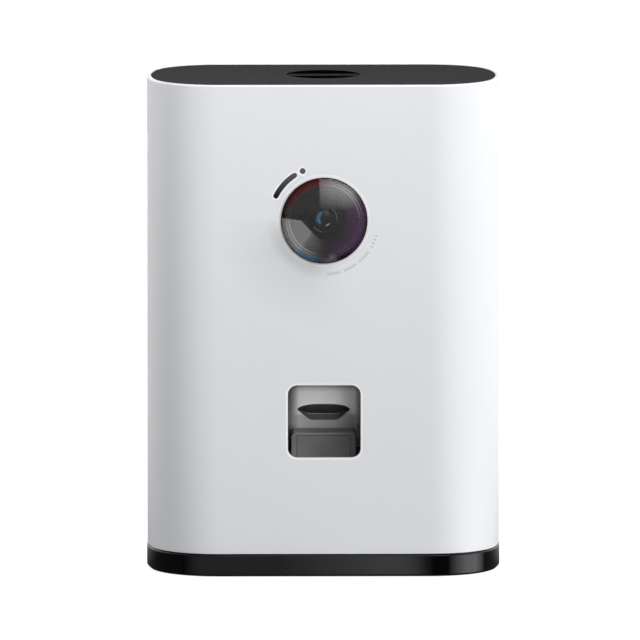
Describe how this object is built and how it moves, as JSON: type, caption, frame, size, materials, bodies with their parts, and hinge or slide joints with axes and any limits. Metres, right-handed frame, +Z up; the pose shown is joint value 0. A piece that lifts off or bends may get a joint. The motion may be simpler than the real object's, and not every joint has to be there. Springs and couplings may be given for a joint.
{
  "type": "treat tossing pet camera",
  "caption": "Upright white oval-plan casing on a black plinth with a round camera, a dark locking lid and a front window where a paddle throws treats.",
  "frame": {"origin": "centre of the casing's plan at the underside of the rubber feet", "axes": "+Z up, -Y out of the camera's front, +X to the right seen from the front"},
  "size_m": [0.1544, 0.0864, 0.216],
  "materials": {
    "white_shell": "satin white moulded plastic",
    "gloss_black": "polished black",
    "foot_rubber": "matte",
    "screw_steel": "plated",
    "inner_plastic": "moulded",
    "bracket_metal": "pressed sheet",
    "bezel_black": "gloss black",
    "dome_glass": "coated, polished",
    "baffle_black": "fine matte black",
    "lens_glass": "coated glass",
    "circuit_green": "solder mask",
    "smoked_plastic": "smoked, polished",
    "pocket_grey": "glossy grey",
    "bin_plastic": "food-safe, smooth",
    "housing_grey": "moulded",
    "motor_can": "plated can",
    "inlet_steel": "drawn shell",
    "antenna_film": "printed film",
    "speaker_black": "cone and frame",
    "spring_steel": "drawn wire",
    "lid_grey": "fine satin",
    "lid_inner": "moulded",
    "gasket_rubber": "silicone",
    "knob_black": "satin black",
    "acetal": "smooth",
    "drum_plastic": "smooth",
    "shaft_steel": "ground",
    "black_oxide": "blackened steel",
    "gear_plastic": "smooth",
    "pinion_brass": "turned",
    "paddle_grey": "satin dark grey",
    "button_white": "satin"
  },
  "bodies": {
    "casing": {"outer_sleeve": "white_shell", "base_plinth": "gloss_black", "rubber_feet": "foot_rubber", "base_screws": "screw_steel", "chassis": "inner_plastic", "motor_bracket": "bracket_metal", "lens_bezel": "bezel_black", "lens_dome": "dome_glass", "lens_baffle": "baffle_black", "lens_barrel": "baffle_black", "camera_lens": "lens_glass", "camera_board": "circuit_green", "status_light": "smoked_plastic", "light_sensor": "smoked_plastic", "outlet_liner": "pocket_grey", "treat_hopper": "bin_plastic", "dose_housing": "housing_grey", "housing_screws": "screw_steel", "drum_motor": "motor_can", "kicker_motor": "motor_can", "main_board": "circuit_green", "power_inlet": "inlet_steel", "wifi_antenna": "antenna_film", "speaker": "speaker_black", "paddle_spring": "spring_steel"},
    "lid": {"lid_plate": "lid_grey", "lid_skirt": "lid_inner", "lid_gasket": "gasket_rubber", "lid_liner": "lid_inner", "lid_screws": "screw_steel"},
    "knob": {"lock_knob": "knob_black", "lock_cam": "acetal", "knob_screw": "screw_steel"},
    "left_bolt": {"left_bolt": "acetal"},
    "right_bolt": {"right_bolt": "acetal"},
    "drum": {"dose_drum": "drum_plastic", "drum_shaft": "shaft_steel", "drum_gear": "gear_plastic"},
    "drum_pinion": {"drum_pinion": "pinion_brass"},
    "kicker": {"kicker_gear": "gear_plastic", "kicker_pin": "shaft_steel"},
    "kicker_pinion": {"kicker_pinion": "pinion_brass"},
    "paddle": {"toss_paddle": "paddle_grey", "paddle_shaft": "black_oxide", "paddle_lever": "acetal"},
    "reset_button": {"reset_button": "button_white"}
  },
  "joints": [
    {"name": "lid_lift", "type": "slide", "parent": "casing", "child": "lid", "axis": [0, 0, 1], "range_m": [0, 0.05]},
    {"name": "knob_turn", "type": "hinge", "parent": "lid", "child": "knob", "pos_m": [0, 0.0015, 0.2128], "axis": [0, 0, 1], "range_deg": [0, 90]},
    {"name": "left_bolt_slide", "type": "slide", "parent": "lid", "child": "left_bolt", "axis": [-1, 0, 0], "range_m": [0, 0.0036]},
    {"name": "right_bolt_slide", "type": "slide", "parent": "lid", "child": "right_bolt", "axis": [1, 0, 0], "range_m": [0, 0.0036]},
    {"name": "drum_spin", "type": "hinge", "parent": "casing", "child": "drum", "pos_m": [0, 0.009, 0.104], "axis": [1, 0, 0], "continuous": true},
    {"name": "drum_pinion_spin", "type": "hinge", "parent": "casing", "child": "drum_pinion", "pos_m": [0.0322, 0.0195, 0.08581], "axis": [1, 0, 0], "continuous": true},
    {"name": "kicker_spin", "type": "hinge", "parent": "casing", "child": "kicker", "pos_m": [0.0322, -0.016, 0.068], "axis": [1, 0, 0], "continuous": true},
    {"name": "kicker_pinion_spin", "type": "hinge", "parent": "casing", "child": "kicker_pinion", "pos_m": [0.0322, 0.0032, 0.068], "axis": [1, 0, 0], "continuous": true},
    {"name": "paddle_swing", "type": "hinge", "parent": "casing", "child": "paddle", "pos_m": [0, -0.0345, 0.0545], "axis": [1, 0, 0], "range_deg": [0, 45]},
    {"name": "reset_press", "type": "slide", "parent": "casing", "child": "reset_button", "axis": [0, -1, 0], "range_m": [0, 0.001], "stiffness_N_per_m": 300}
  ],
  "couplings": [
    {"joint": "left_bolt_slide", "follows": "knob_turn", "m_per_rad": 0.0022282},
    {"joint": "right_bolt_slide", "follows": "knob_turn", "m_per_rad": 0.0022282},
    {"joint": "drum_pinion_spin", "follows": "drum_spin", "ratio": -2.5},
    {"joint": "kicker_pinion_spin", "follows": "kicker_spin", "ratio": -3}
  ]
}
